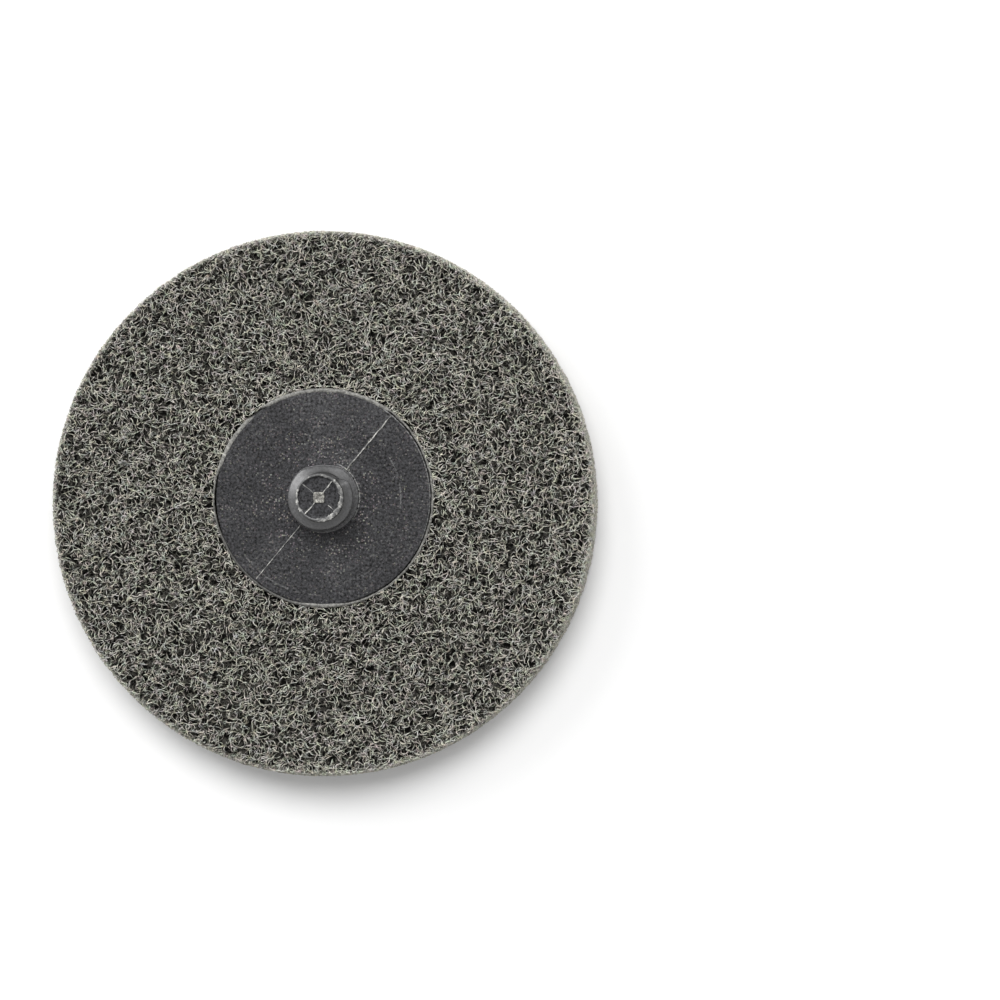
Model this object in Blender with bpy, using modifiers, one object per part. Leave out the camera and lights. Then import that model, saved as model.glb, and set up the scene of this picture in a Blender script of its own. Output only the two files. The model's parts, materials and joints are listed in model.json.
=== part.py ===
"""Surface conditioning disc: a nonwoven abrasive pad with a moulded quick-change hub bonded into its back.

Metres, +Z up. The pad lies on its working face at z = 0, with its middle on the Z axis, and the hub's
threaded stud points up. The hub sits a little off the middle of the pad, as the real one does.
"""

import math

import bmesh
import bpy

MM = 0.001

# Pad: a disc stamped from a thick web of curly nylon fibres that carry the abrasive grain
PAD_DIAMETER = 76.0 * MM
PAD_THICKNESS = 6.35 * MM
PAD_EDGE_RADIUS = 0.8 * MM
PAD_RING_STEP = 1.6 * MM
PAD_TURN_STEPS = 112
WEB_RELIEF = 0.7 * MM
WEB_CLUMP_SIZE = 3.4 * MM
WEB_MIDDLE = 0.62

# Hub: one nylon moulding, a round flange with a threaded stud
HUB_SHIFT_X = 0.1 * MM
HUB_SHIFT_Y = 0.84 * MM
FLANGE_DIAMETER = 30.0 * MM
FLANGE_THICKNESS = 1.5 * MM
FLANGE_EDGE_RADIUS = 0.3 * MM
FLANGE_PROUD = 0.1 * MM
FLANGE_TURN_STEPS = 96

# Stud: a slightly tapered core on a low collar, with a coarse right-hand thread
STUD_HEIGHT = 6.6 * MM
CORE_TIP_DIAMETER = 6.3 * MM
CORE_BASE_DIAMETER = 6.9 * MM
CORE_TIP_CHAMFER = 0.2 * MM
COLLAR_DIAMETER = 9.9 * MM
COLLAR_HEIGHT = 0.35 * MM
COLLAR_FILLET = 0.3 * MM
THREAD_DIAMETER = 9.6 * MM
THREAD_PITCH = 4.2 * MM
THREAD_CREST_WIDTH = 0.9 * MM
THREAD_CREST_ROUND = 0.25 * MM
THREAD_FLANK_ANGLE = math.radians(32.0)
THREAD_BURIED = 0.5 * MM
THREAD_TOP_DROP = 0.9 * MM
THREAD_TURNS = 1.5
THREAD_STEPS_PER_TURN = 48
THREAD_RUN_IN = math.radians(26.0)
THREAD_START_SHARE = 0.12

# Marks of the mould: the parting line, the dished tip and the stub of the gate
PARTING_ANGLE = math.radians(50.3)
PARTING_WIDTH = 0.16 * MM
PARTING_HEIGHT = 0.1 * MM
TIP_DISH_DIAMETER = 5.5 * MM
TIP_DISH_DEPTH = 0.3 * MM
TIP_DISH_SLOPE = 0.12 * MM
TIP_RIB_WIDTH = 0.18 * MM
TIP_RIB_HEIGHT = 0.12 * MM
GATE_WIDTH = 1.45 * MM
GATE_HEIGHT = 0.26 * MM
GATE_HOLLOW_DIAMETER = 0.8 * MM
GATE_HOLLOW_DEPTH = 0.12 * MM
GATE_TURN_STEPS = 16

# Bond: the film of adhesive under the flange and the bead that it pushed up round the flange's rim
GLUE_FILM_THICKNESS = 0.4 * MM
BEAD_WIDTH = 0.45 * MM
BEAD_DROP = 0.1 * MM
BEAD_NICK_ANGLE = math.radians(124.0)
BEAD_NICK_WIDTH = 1.8 * MM
BEAD_NICK_DEPTH = 0.7 * MM

# Clearance between neighbouring pieces, and how far a cutter or a joined piece runs past a face
FIT_GAP = 0.3 * MM
OVERCUT = 0.5 * MM
MERGE_DISTANCE = 0.00001
ARC_STEPS = 4
EDGE_STEPS = 2
SHARP_ANGLE = math.radians(32.0)

# Levels and radii that follow from the sizes above
PAD_RADIUS = PAD_DIAMETER / 2
FLANGE_RADIUS = FLANGE_DIAMETER / 2
FLANGE_TOP = PAD_THICKNESS + FLANGE_PROUD
FLANGE_BOTTOM = FLANGE_TOP - FLANGE_THICKNESS
FLANGE_MIDDLE = (FLANGE_TOP + FLANGE_BOTTOM) / 2
STUD_TOP = FLANGE_TOP + STUD_HEIGHT
DISH_FLOOR = STUD_TOP - TIP_DISH_DEPTH
GLUE_TOP = FLANGE_BOTTOM - FIT_GAP
GLUE_BOTTOM = GLUE_TOP - GLUE_FILM_THICKNESS
BEAD_TOP = PAD_THICKNESS - BEAD_DROP
BEAD_INNER_RADIUS = FLANGE_RADIUS + FIT_GAP
BEAD_OUTER_RADIUS = BEAD_INNER_RADIUS + BEAD_WIDTH
POCKET_RADIUS = BEAD_OUTER_RADIUS + FIT_GAP
POCKET_FLOOR = GLUE_BOTTOM - FIT_GAP


def clear_scene():
    """Take every object out of the open scene."""
    for item in list(bpy.data.objects):
        bpy.data.objects.remove(item, do_unlink=True)


def new_collection(name):
    """A collection of this name, linked to the scene."""
    group = bpy.data.collections.new(name)
    bpy.context.scene.collection.children.link(group)
    return group


def new_material(name, colour, roughness):
    """A plain Principled BSDF finish with this colour and roughness."""
    material = bpy.data.materials.new(name)
    material.use_nodes = True
    shader = material.node_tree.nodes["Principled BSDF"]
    shader.inputs["Base Color"].default_value = (*colour, 1.0)
    shader.inputs["Roughness"].default_value = roughness
    shader.inputs["Metallic"].default_value = 0.0
    return material


def new_object(name, mesh, group, parent=None):
    """An object that shows this mesh, in this collection and under this parent."""
    item = bpy.data.objects.new(name, mesh)
    group.objects.link(item)
    item.parent = parent
    return item


def smooth_by_angle():
    """A node group that shades faces smooth and keeps the sharp edges crisp."""
    group = bpy.data.node_groups.new("smooth_by_angle", "GeometryNodeTree")
    group.interface.new_socket(name="Geometry", in_out="INPUT", socket_type="NodeSocketGeometry")
    group.interface.new_socket(name="Geometry", in_out="OUTPUT", socket_type="NodeSocketGeometry")
    source = group.nodes.new("NodeGroupInput")
    result = group.nodes.new("NodeGroupOutput")
    faces = group.nodes.new("GeometryNodeSetShadeSmooth")
    faces.domain = "FACE"
    edges = group.nodes.new("GeometryNodeSetShadeSmooth")
    edges.domain = "EDGE"
    edges.inputs["Shade Smooth"].default_value = False
    fold = group.nodes.new("GeometryNodeInputMeshEdgeAngle")
    is_sharp = group.nodes.new("FunctionNodeCompare")
    is_sharp.operation = "GREATER_THAN"
    is_sharp.inputs["B"].default_value = SHARP_ANGLE
    group.links.new(source.outputs["Geometry"], faces.inputs["Geometry"])
    group.links.new(faces.outputs["Geometry"], edges.inputs["Geometry"])
    group.links.new(fold.outputs["Unsigned Angle"], is_sharp.inputs["A"])
    group.links.new(is_sharp.outputs["Result"], edges.inputs["Selection"])
    group.links.new(edges.outputs["Geometry"], result.inputs["Geometry"])
    return group


def finish_piece(item, material, shading):
    """Give a piece its material and its shading, after its other modifiers."""
    item.data.materials.append(material)
    shade = item.modifiers.new("shading", "NODES")
    shade.node_group = shading
    return item


def arc(middle_x, middle_z, radius, start, end, steps=ARC_STEPS):
    """Points of an arc in the XZ plane, both ends included."""
    points = []
    for index in range(steps + 1):
        angle = start + (end - start) * index / steps
        points.append((middle_x + radius * math.cos(angle), middle_z + radius * math.sin(angle)))
    return points


def line_mesh(name, points, closed=False):
    """A mesh of edges through these points of the XZ plane."""
    shape = bmesh.new()
    corners = [shape.verts.new((x, 0.0, z)) for x, z in points]
    for first, second in zip(corners, corners[1:]):
        shape.edges.new((first, second))
    if closed:
        shape.edges.new((corners[-1], corners[0]))
    mesh = bpy.data.meshes.new(name)
    shape.to_mesh(mesh)
    shape.free()
    return mesh


def turned_object(name, points, steps, group, parent=None):
    """A profile that runs from the axis over the top and down to the axis, turned about Z."""
    item = new_object(name, line_mesh(name, points), group, parent)
    turn = item.modifiers.new("turn", "SCREW")
    turn.angle = math.tau
    turn.steps = steps
    turn.render_steps = steps
    turn.use_merge_vertices = True
    turn.merge_threshold = MERGE_DISTANCE
    return item


def box_mesh(name, length, width, bottom, top, angle=0.0, middle=(0.0, 0.0)):
    """A box turned about Z, between two levels."""
    shape = bmesh.new()
    bmesh.ops.create_cube(shape, size=1.0)
    bmesh.ops.scale(shape, vec=(length, width, top - bottom), verts=shape.verts)
    bmesh.ops.translate(shape, vec=(middle[0], middle[1], (top + bottom) / 2), verts=shape.verts)
    for corner in shape.verts:
        x, y, z = corner.co
        corner.co = (
            x * math.cos(angle) - y * math.sin(angle),
            x * math.sin(angle) + y * math.cos(angle),
            z,
        )
    mesh = bpy.data.meshes.new(name)
    shape.to_mesh(mesh)
    shape.free()
    return mesh


def make_guide(item):
    """Show a piece that only shapes another as wires."""
    item.hide_render = True
    item.display_type = "WIRE"
    return item


def combine(item, other, operation):
    """Join another object to this one, or cut it away."""
    step = item.modifiers.new(other.name, "BOOLEAN")
    step.operation = operation
    step.solver = "EXACT"
    step.object = other


def pad_profile():
    """Half section of the pad: over the top face, round the edge and back along the working face."""
    ring_count = max(2, round((PAD_RADIUS - PAD_EDGE_RADIUS) / PAD_RING_STEP))
    side_count = max(2, round((PAD_THICKNESS - 2 * PAD_EDGE_RADIUS) / PAD_RING_STEP))
    flat_radius = PAD_RADIUS - PAD_EDGE_RADIUS
    upper = PAD_THICKNESS - PAD_EDGE_RADIUS
    points = []
    for index in range(ring_count):
        points.append((flat_radius * index / ring_count, PAD_THICKNESS))
    points += arc(flat_radius, upper, PAD_EDGE_RADIUS, math.pi / 2, 0.0, EDGE_STEPS)
    for index in range(1, side_count):
        points.append((PAD_RADIUS, upper - (upper - PAD_EDGE_RADIUS) * index / side_count))
    points += arc(flat_radius, PAD_EDGE_RADIUS, PAD_EDGE_RADIUS, 0.0, -math.pi / 2, EDGE_STEPS)
    points.append((0.0, 0.0))
    return points


def build_pad(group, cutters, hub_axis, shading):
    """The abrasive web, clumpy on its back and side and flat on its working face, with the hub's pocket."""
    points = pad_profile()
    pad = turned_object("abrasive_pad", points, PAD_TURN_STEPS, group)

    clumpy = pad.vertex_groups.new(name="clumpy_faces")
    raised = [index for index, point in enumerate(points) if point[1] > PAD_EDGE_RADIUS / 2]
    clumpy.add(raised, 1.0, "REPLACE")
    web = bpy.data.textures.new("web_clumps", "CLOUDS")
    web.noise_scale = WEB_CLUMP_SIZE
    web.noise_depth = 1
    relief = pad.modifiers.new("web_relief", "DISPLACE")
    relief.texture = web
    relief.texture_coords = "LOCAL"
    relief.direction = "NORMAL"
    relief.strength = WEB_RELIEF
    relief.mid_level = WEB_MIDDLE
    relief.vertex_group = clumpy.name

    pocket_points = [
        (0.0, PAD_THICKNESS + OVERCUT),
        (POCKET_RADIUS, PAD_THICKNESS + OVERCUT),
        (POCKET_RADIUS, POCKET_FLOOR),
        (0.0, POCKET_FLOOR),
    ]
    pocket = turned_object("hub_pocket_cut", pocket_points, FLANGE_TURN_STEPS, cutters, hub_axis)
    combine(pad, make_guide(pocket), "DIFFERENCE")
    return finish_piece(pad, new_material("coated_nylon_web", (0.118, 0.114, 0.101), 0.85), shading)


def build_bond(group, cutters, hub_axis, shading):
    """The adhesive: a thin dish whose rim is the bead that stands round the flange."""
    crown = BEAD_WIDTH / 2
    points = [(0.0, GLUE_TOP), (BEAD_INNER_RADIUS, GLUE_TOP)]
    points += arc(BEAD_INNER_RADIUS + crown, BEAD_TOP - crown, crown, math.pi, 0.0)
    points += [(BEAD_OUTER_RADIUS, GLUE_BOTTOM), (0.0, GLUE_BOTTOM)]
    bond = turned_object("glue_bond", points, FLANGE_TURN_STEPS, group, hub_axis)

    nick_mesh = box_mesh(
        "bead_nick_cut",
        BEAD_WIDTH + 2 * FIT_GAP,
        BEAD_NICK_WIDTH,
        BEAD_TOP - BEAD_NICK_DEPTH,
        BEAD_TOP + OVERCUT,
        BEAD_NICK_ANGLE,
        (BEAD_INNER_RADIUS + crown, 0.0),
    )
    nick = new_object("bead_nick_cut", nick_mesh, cutters, hub_axis)
    combine(bond, make_guide(nick), "DIFFERENCE")
    return finish_piece(bond, new_material("cured_adhesive", (0.24, 0.235, 0.225), 0.45), shading)


def hub_profile():
    """Half section of the moulding: dished tip, tapered core, collar, flange."""
    tip = CORE_TIP_DIAMETER / 2
    base = CORE_BASE_DIAMETER / 2
    collar = COLLAR_DIAMETER / 2
    collar_top = FLANGE_TOP + COLLAR_HEIGHT
    dish = TIP_DISH_DIAMETER / 2
    points = [
        (0.0, DISH_FLOOR),
        (dish - TIP_DISH_SLOPE, DISH_FLOOR),
        (dish, STUD_TOP),
        (tip - CORE_TIP_CHAMFER, STUD_TOP),
        (tip, STUD_TOP - CORE_TIP_CHAMFER),
    ]
    points += arc(base + COLLAR_FILLET, collar_top + COLLAR_FILLET, COLLAR_FILLET, math.pi, 1.5 * math.pi)
    points.append((collar - COLLAR_HEIGHT / 2, collar_top))
    points.append((collar, FLANGE_TOP))
    rim = FLANGE_RADIUS - FLANGE_EDGE_RADIUS
    points += arc(rim, FLANGE_TOP - FLANGE_EDGE_RADIUS, FLANGE_EDGE_RADIUS, math.pi / 2, 0.0)
    points += arc(rim, FLANGE_BOTTOM + FLANGE_EDGE_RADIUS, FLANGE_EDGE_RADIUS, 0.0, -math.pi / 2, EDGE_STEPS)
    points.append((0.0, FLANGE_BOTTOM))
    return points


def thread_mesh():
    """The thread's ridge: a trapezoid carried up a right-hand helix, closed at both ends.

    Its top end is drawn in towards the core, and its foot is cut off inside the flange.
    """
    inner = CORE_TIP_DIAMETER / 2 - THREAD_BURIED
    outer = THREAD_DIAMETER / 2
    half_crest = THREAD_CREST_WIDTH / 2
    half_root = half_crest + (outer - inner) * math.tan(THREAD_FLANK_ANGLE)
    round_drop = THREAD_CREST_ROUND * math.tan(THREAD_FLANK_ANGLE)
    top_middle = STUD_TOP - THREAD_TOP_DROP - half_root
    rise = THREAD_PITCH * THREAD_TURNS
    foot_middle = top_middle - rise
    section = [
        (inner, foot_middle + half_root),
        (outer - THREAD_CREST_ROUND, foot_middle + half_crest + round_drop),
        (outer, foot_middle + half_crest - round_drop),
        (outer, foot_middle - half_crest + round_drop),
        (outer - THREAD_CREST_ROUND, foot_middle - half_crest - round_drop),
        (inner, foot_middle - half_root),
    ]
    group = bpy.context.scene.collection
    guide = new_object("thread_section", line_mesh("thread_section", section, closed=True), group)
    climb = guide.modifiers.new("climb", "SCREW")
    steps = round(THREAD_STEPS_PER_TURN * THREAD_TURNS)
    climb.angle = math.tau * THREAD_TURNS
    climb.screw_offset = rise
    climb.steps = steps
    climb.render_steps = steps
    climb.use_merge_vertices = False
    view = bpy.context.evaluated_depsgraph_get()
    mesh = bpy.data.meshes.new_from_object(guide.evaluated_get(view))
    bpy.data.objects.remove(guide, do_unlink=True)

    shape = bmesh.new()
    shape.from_mesh(mesh)
    top_angle = math.tau * THREAD_TURNS
    turn_to_parting = PARTING_ANGLE - top_angle
    for index, corner in enumerate(shape.verts):
        below_top = top_angle * (1.0 - (index // len(section)) / steps)
        share = min(1.0, THREAD_START_SHARE + (1.0 - THREAD_START_SHARE) * below_top / THREAD_RUN_IN)
        x, y, z = corner.co
        radius = math.hypot(x, y)
        angle = math.atan2(y, x) + turn_to_parting
        radius = inner + (radius - inner) * math.sin(share * math.pi / 2)
        corner.co = (radius * math.cos(angle), radius * math.sin(angle), z)
    bmesh.ops.holes_fill(shape, edges=[edge for edge in shape.edges if edge.is_boundary], sides=0)
    bmesh.ops.bisect_plane(
        shape,
        geom=shape.verts[:] + shape.edges[:] + shape.faces[:],
        dist=MERGE_DISTANCE / 10,
        plane_co=(0.0, 0.0, FLANGE_MIDDLE),
        plane_no=(0.0, 0.0, 1.0),
        clear_inner=True,
    )
    bmesh.ops.holes_fill(shape, edges=[edge for edge in shape.edges if edge.is_boundary], sides=0)
    bmesh.ops.recalc_face_normals(shape, faces=shape.faces)
    shape.to_mesh(mesh)
    shape.free()
    return mesh


def build_hub(group, cutters, hub_axis, shading):
    """The nylon moulding, with its thread, parting line, tip ribs and gate stub joined on."""
    hub = turned_object("hub_button", hub_profile(), FLANGE_TURN_STEPS, group, hub_axis)
    thread = new_object("stud_thread", thread_mesh(), cutters, hub_axis)
    combine(hub, make_guide(thread), "UNION")

    line_length = FLANGE_DIAMETER - 2 * FLANGE_EDGE_RADIUS
    line_top = FLANGE_TOP + PARTING_HEIGHT
    rib_top = DISH_FLOOR + TIP_RIB_HEIGHT
    gate_top = DISH_FLOOR + GATE_HEIGHT
    across = PARTING_ANGLE + math.pi / 2
    bars = [
        ("parting_line", line_length, PARTING_WIDTH, FLANGE_MIDDLE, line_top, PARTING_ANGLE),
        ("tip_rib_along", TIP_DISH_DIAMETER, TIP_RIB_WIDTH, DISH_FLOOR - OVERCUT, rib_top, PARTING_ANGLE),
        ("tip_rib_across", TIP_DISH_DIAMETER, TIP_RIB_WIDTH, DISH_FLOOR - 1.5 * OVERCUT, rib_top, across),
        ("gate_stub", GATE_WIDTH, GATE_WIDTH, DISH_FLOOR - 2 * OVERCUT, gate_top, 0.0),
    ]
    for name, *sizes in bars:
        combine(hub, make_guide(new_object(name, box_mesh(name, *sizes), cutters, hub_axis)), "UNION")

    hollow_radius = GATE_HOLLOW_DIAMETER / 2
    hollow_points = [
        (0.0, gate_top + OVERCUT),
        (hollow_radius, gate_top + OVERCUT),
        (hollow_radius, gate_top - GATE_HOLLOW_DEPTH),
        (0.0, gate_top - GATE_HOLLOW_DEPTH),
    ]
    hollow = turned_object("gate_hollow_cut", hollow_points, GATE_TURN_STEPS, cutters, hub_axis)
    combine(hub, make_guide(hollow), "DIFFERENCE")
    return finish_piece(hub, new_material("black_nylon", (0.068, 0.068, 0.070), 0.5), shading)


def build_disc():
    """The whole disc, with the hub and its bond placed by an empty on the hub's axis."""
    clear_scene()
    group = new_collection("surface_conditioning_disc")
    cutters = new_collection("cutters")
    hub_axis = new_object("hub_axis", None, group)
    hub_axis.location = (HUB_SHIFT_X, HUB_SHIFT_Y, 0.0)
    bpy.context.view_layer.update()
    shading = smooth_by_angle()
    build_pad(group, cutters, hub_axis, shading)
    build_bond(group, cutters, hub_axis, shading)
    build_hub(group, cutters, hub_axis, shading)


build_disc()
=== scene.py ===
"""A surface conditioning disc seen from its back: the looks of its web, its bond and its moulded hub.

Lengths are in metres, +Z up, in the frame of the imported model. The disc lies on its working face, and
the camera looks down on the hub as the photograph looks at it.
"""

import json
import logging
import math
from dataclasses import dataclass, field
from enum import Enum

import bmesh
import bpy
import numpy as np
from mathutils import Matrix, Vector, noise


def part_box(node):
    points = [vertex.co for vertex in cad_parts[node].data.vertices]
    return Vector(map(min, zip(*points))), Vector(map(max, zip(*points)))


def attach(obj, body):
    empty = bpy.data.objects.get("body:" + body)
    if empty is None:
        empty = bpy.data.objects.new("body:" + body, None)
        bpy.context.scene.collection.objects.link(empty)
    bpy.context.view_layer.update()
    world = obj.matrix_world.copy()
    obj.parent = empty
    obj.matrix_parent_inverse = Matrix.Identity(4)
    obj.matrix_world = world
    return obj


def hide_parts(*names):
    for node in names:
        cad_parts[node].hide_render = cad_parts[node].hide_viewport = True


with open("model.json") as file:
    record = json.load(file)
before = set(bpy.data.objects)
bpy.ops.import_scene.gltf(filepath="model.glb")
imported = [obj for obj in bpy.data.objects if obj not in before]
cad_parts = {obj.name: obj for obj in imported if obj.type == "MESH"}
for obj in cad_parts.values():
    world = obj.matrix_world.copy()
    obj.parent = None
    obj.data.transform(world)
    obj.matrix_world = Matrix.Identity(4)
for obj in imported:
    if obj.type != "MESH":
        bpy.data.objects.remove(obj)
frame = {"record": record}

LOG = logging.getLogger("conditioning_disc")

MM = 0.001
BODY = "root"
SHADE_LAYER = "strand_shade"
BEAD_LAYER = "bead_paleness"
FLOAT = "NodeSocketFloat"
COLOUR = "NodeSocketColor"
VECTOR = "NodeSocketVector"
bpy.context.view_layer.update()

Colour = tuple[float, float, float, float]
Point = tuple[float, float]
Node = bpy.types.Node
Socket = bpy.types.NodeSocket
Material = bpy.types.Material
Mesh = bpy.types.Mesh
Shape = bmesh.types.BMesh


class Operation(Enum):
    """The sums that the materials do with Math nodes."""

    ADD = "ADD"
    SUBTRACT = "SUBTRACT"
    MULTIPLY = "MULTIPLY"
    DIVIDE = "DIVIDE"
    ABSOLUTE = "ABSOLUTE"
    GREATER = "GREATER_THAN"
    LESS = "LESS_THAN"


class VectorWork(Enum):
    """What the materials do with Vector Math nodes."""

    ADD = "ADD"
    MULTIPLY = "MULTIPLY"
    SCALE = "SCALE"
    DOT = "DOT_PRODUCT"
    LENGTH = "LENGTH"


class PadFace(Enum):
    """The faces of the pad that carry strands."""

    BACK = "back"
    SIDE = "side"
    WORKING = "working"


def smooth_step(low: float, high: float, value: float) -> float:
    """A soft step.

    Args:
        low: where the step starts.
        high: where it ends.
        value: where it is read.

    Returns:
        0 before low, 1 after high, and a smooth rise between them.
    """
    share = min(1.0, max(0.0, (value - low) / (high - low)))
    return share * share * (3.0 - 2.0 * share)


def arc_points(middle: Point, radius: float, start: float, end: float, steps: int) -> list[Point]:
    """Points of an arc of a half section.

    Args:
        middle: the arc's middle, as distance from the axis and height.
        radius: its radius.
        start: its first angle, in radians.
        end: its last angle.
        steps: how many chords it has.

    Returns:
        The points, both ends included.
    """
    angles = [start + (end - start) * index / steps for index in range(steps + 1)]
    return [(middle[0] + radius * math.cos(angle), middle[1] + radius * math.sin(angle)) for angle in angles]


@dataclass
class NodeDesk:
    """Adds nodes to one tree and joins them."""

    tree: bpy.types.NodeTree

    def feed(self, node: Node, inputs: dict[str | int, object]) -> None:
        """Set a node's inputs, or link them where a value is another node's output.

        Args:
            node: the node.
            inputs: values or output sockets, by the inputs' names or places.
        """
        for name, value in inputs.items():
            if isinstance(value, Socket):
                self.tree.links.new(value, node.inputs[name])
            else:
                node.inputs[name].default_value = value

    def add(self, kind: str, inputs: dict[str | int, object] | None = None, **settings: object) -> Node:
        """Add one node.

        Args:
            kind: Blender's name for the node's type.
            inputs: values or output sockets for its inputs, by name or place.
            settings: properties of the node.

        Returns:
            The new node.
        """
        node = self.tree.nodes.new(kind)
        for name, value in settings.items():
            setattr(node, name, value)
        self.feed(node, inputs or {})
        return node

    def sum(self, operation: Operation, first: object, second: object = 0.0, clamp: bool = False) -> Socket:
        """One Math node.

        Args:
            operation: what it does.
            first: its first value or socket.
            second: its second value or socket.
            clamp: whether the result stays between 0 and 1.

        Returns:
            Its output.
        """
        node = self.add("ShaderNodeMath", {0: first, 1: second}, operation=operation.value, use_clamp=clamp)
        return node.outputs[0]

    def plus(self, first: object, second: object, clamp: bool = False) -> Socket:
        """The sum of two values, kept between 0 and 1 where clamp is set."""
        return self.sum(Operation.ADD, first, second, clamp)

    def minus(self, first: object, second: object) -> Socket:
        """The first value less the second."""
        return self.sum(Operation.SUBTRACT, first, second)

    def times(self, first: object, second: object, clamp: bool = False) -> Socket:
        """The product of two values, kept between 0 and 1 where clamp is set."""
        return self.sum(Operation.MULTIPLY, first, second, clamp)

    def vector(self, work: VectorWork, first: object, second: object = None) -> Socket:
        """One Vector Math node.

        Args:
            work: what it does.
            first: its first vector.
            second: its second vector, the factor of a scale, or None for a length.

        Returns:
            Its output: a number for a dot product or a length, otherwise a vector.
        """
        node = self.add("ShaderNodeVectorMath", {0: first}, operation=work.value)
        if second is not None:
            self.feed(node, {"Scale" if work is VectorWork.SCALE else 1: second})
        return node.outputs["Value" if work in (VectorWork.DOT, VectorWork.LENGTH) else "Vector"]

    def blend(self, factor: object, first: object, second: object, mode: str = "MIX") -> Socket:
        """One Mix node for colours.

        Args:
            factor: the share of the second colour.
            first: the colour at 0.
            second: the colour at 1.
            mode: Blender's name for the way they mix.

        Returns:
            Its output.
        """
        inputs = {"Factor": factor, 6: first, 7: second}
        return self.add("ShaderNodeMix", inputs, data_type="RGBA", blend_type=mode).outputs[2]

    def spread(
        self, value: object, low: float, high: float, to_low: float = 0.0, to_high: float = 1.0
    ) -> Socket:
        """One Map Range node that keeps inside its ends.

        Args:
            value: the value that is read.
            low: the value that gives to_low.
            high: the value that gives to_high.
            to_low: the result's one end.
            to_high: its other end.

        Returns:
            Its output.
        """
        inputs = dict(enumerate((value, low, high, to_low, to_high)))
        return self.add("ShaderNodeMapRange", inputs).outputs[0]

    def cloud(self, where: object, scale: object, detail: float = 2.0, roughness: float = 0.55) -> Socket:
        """One Noise Texture node.

        Args:
            where: the coordinates.
            scale: how many cells a metre holds.
            detail: how many finer layers it has.
            roughness: how strong the finer layers are.

        Returns:
            Its grey value.
        """
        inputs = {"Vector": where, "Scale": scale, "Detail": detail, "Roughness": roughness}
        return self.add("ShaderNodeTexNoise", inputs).outputs[0]

    def hues(self, where: object, scale: float) -> Socket:
        """Soft clouds of every colour, of so many cells a metre."""
        inputs = {"Vector": where, "Scale": scale, "Detail": 1.0}
        return self.add("ShaderNodeTexNoise", inputs).outputs["Color"]

    def patches(
        self,
        where: object,
        scale: float,
        low: float,
        high: float,
        detail: float = 2.0,
        roughness: float = 0.55,
    ) -> Socket:
        """Clouds that run between two values.

        Args:
            where: the coordinates.
            scale: how many cells a metre holds.
            low: the value of the darkest clouds.
            high: the value of the lightest.
            detail: how many finer layers they have.
            roughness: how strong the finer layers are.

        Returns:
            Their value.
        """
        return self.spread(self.cloud(where, scale, detail, roughness), 0.3, 0.7, low, high)

    def cells(self, where: object, scale: object) -> tuple[object, object]:
        """Grains packed side by side.

        Args:
            where: the coordinates.
            scale: how many grains a metre holds.

        Returns:
            The outputs of the Voronoi Texture node, and the parts of each grain's own colour.
        """
        grains = self.add("ShaderNodeTexVoronoi", {"Vector": where, "Scale": scale}).outputs
        return grains, self.add("ShaderNodeSeparateColor", {"Color": grains["Color"]}).outputs

    def bump(self, shader: Node, height: Socket, distance: float, strength: float = 1.0) -> None:
        """Give a shader's surface its fine relief.

        Args:
            shader: the shader.
            height: the relief's height, from 0 to 1.
            distance: how tall a height of 1 is.
            strength: how much of it shows.
        """
        relief = self.add("ShaderNodeBump", {"Height": height, "Distance": distance, "Strength": strength})
        self.feed(shader, {"Normal": relief.outputs[0]})


@dataclass
class EffectGroup:
    """A shader node group that reads a position and some named values."""

    name: str
    inputs: dict[str, float | tuple[float, float, float]]
    outputs: dict[str, str]
    desk: NodeDesk = field(init=False)
    source: Node = field(init=False)
    result: Node = field(init=False)

    def __post_init__(self) -> None:
        """Make the tree and its sockets."""
        tree = bpy.data.node_groups.new(self.name, "ShaderNodeTree")
        tree.interface.new_socket(name="Position", in_out="INPUT", socket_type=VECTOR)
        for name, value in self.inputs.items():
            kind = VECTOR if isinstance(value, tuple) else FLOAT
            socket = tree.interface.new_socket(name=name, in_out="INPUT", socket_type=kind)
            socket.default_value = value
        for name, kind in self.outputs.items():
            tree.interface.new_socket(name=name, in_out="OUTPUT", socket_type=kind)
        self.desk = NodeDesk(tree)
        self.source = self.desk.add("NodeGroupInput")
        self.result = self.desk.add("NodeGroupOutput")

    def place(self, desk: NodeDesk, position: Socket, **values: object) -> object:
        """Place the group in a material.

        Args:
            desk: the material's desk.
            position: the coordinates that it reads.
            values: its other inputs, by their names in small letters.

        Returns:
            The outputs of the group's node.
        """
        inputs = {name.capitalize(): value for name, value in values.items()}
        return desk.add("ShaderNodeGroup", {"Position": position} | inputs, node_tree=self.desk.tree).outputs


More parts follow.
